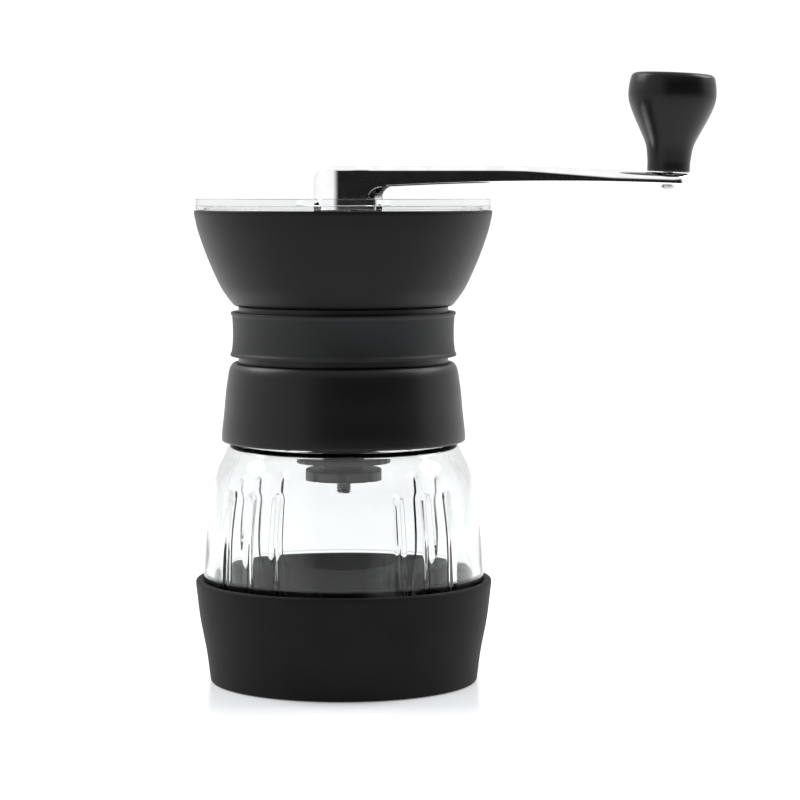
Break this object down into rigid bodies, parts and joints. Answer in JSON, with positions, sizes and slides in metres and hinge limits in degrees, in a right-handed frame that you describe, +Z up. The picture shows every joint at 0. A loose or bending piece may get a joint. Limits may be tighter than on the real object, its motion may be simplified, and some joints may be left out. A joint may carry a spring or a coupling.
{
  "type": "hand crank coffee grinder",
  "caption": "Hand crank coffee grinder: black bowl, grip band and mill on a fluted glass jar in a soft boot, with a polished crank, a knob and a clear lid.",
  "frame": {"origin": "middle of the flat underside of the boot", "axes": "+Z up along the shaft, +X towards the knob with the crank at rest"},
  "size_m": [0.1626, 0.093, 0.1903],
  "materials": {
    "boot_silicone": "matte",
    "jar_glass": "gloss",
    "casing_plastic": "satin",
    "hopper_plastic": "matte",
    "grip_rubber": "matte",
    "lid_plastic": "gloss",
    "crank_steel": "polished",
    "machine_steel": "satin",
    "burr_ceramic": "matte",
    "inner_plastic": "satin",
    "bush_plastic": "satin",
    "knob_plastic": "satin"
  },
  "bodies": {
    "base": {"base_boot": "boot_silicone"},
    "jar": {"glass_jar": "jar_glass"},
    "mill": {"mill_body": "casing_plastic", "grip_band": "grip_rubber", "hopper_bowl": "hopper_plastic", "bearing_spider": "casing_plastic", "upper_bush": "bush_plastic", "outer_burr": "burr_ceramic", "stabiliser_bridge": "inner_plastic", "lower_bush": "bush_plastic", "bridge_screw_1": "machine_steel", "bridge_screw_2": "machine_steel", "bridge_screw_3": "machine_steel", "hopper_screw_1": "machine_steel", "hopper_screw_2": "machine_steel", "hopper_screw_3": "machine_steel"},
    "lid": {"lid": "lid_plastic"},
    "shaft": {"main_shaft": "machine_steel", "shaft_clip": "machine_steel", "spring_washer": "machine_steel", "burr_spring": "machine_steel"},
    "burr": {"inner_burr": "burr_ceramic", "drive_sleeve": "inner_plastic", "click_plate": "inner_plastic"},
    "nut": {"adjusting_nut": "inner_plastic"},
    "crank": {"crank_arm": "crank_steel", "socket_insert": "machine_steel", "knob_pin": "machine_steel"},
    "knob": {"knob": "knob_plastic", "knob_washer": "machine_steel"}
  },
  "joints": [
    {"name": "jar_turn", "type": "hinge", "parent": "base", "child": "jar", "pos_m": [0, 0, 0], "axis": [0, 0, -1], "range_deg": [0, 450]},
    {"name": "mill_rise", "type": "slide", "parent": "base", "child": "mill", "axis": [0, 0, 1], "range_m": [0, 0.00625]},
    {"name": "lid_lift", "type": "slide", "parent": "mill", "child": "lid", "axis": [0, 0, 1], "range_m": [0, 0.031]},
    {"name": "crank_spin", "type": "hinge", "parent": "mill", "child": "shaft", "pos_m": [0, 0, 0.13], "axis": [0, 0, 1], "continuous": true},
    {"name": "crank_lift", "type": "slide", "parent": "shaft", "child": "crank", "axis": [0, 0, 1], "range_m": [0, 0.06]},
    {"name": "knob_spin", "type": "hinge", "parent": "crank", "child": "knob", "pos_m": [0.1013, 0, 0.15904], "axis": [0.0454, 0, 0.999], "continuous": true},
    {"name": "burr_shift", "type": "slide", "parent": "shaft", "child": "burr", "axis": [0, 0, 1], "range_m": [-0.0016, 0.00053], "deforming": ["burr_spring"]},
    {"name": "nut_turn", "type": "hinge", "parent": "burr", "child": "nut", "pos_m": [0, 0, 0.065], "axis": [0, 0, 1], "range_deg": [-720, 240]}
  ],
  "couplings": [
    {"joint": "jar_turn", "follows": "mill_rise", "rad_per_m": 1256.6},
    {"joint": "lid_lift", "follows": "crank_lift", "ratio": 0.5},
    {"joint": "nut_turn", "follows": "burr_shift", "rad_per_m": 7854}
  ]
}
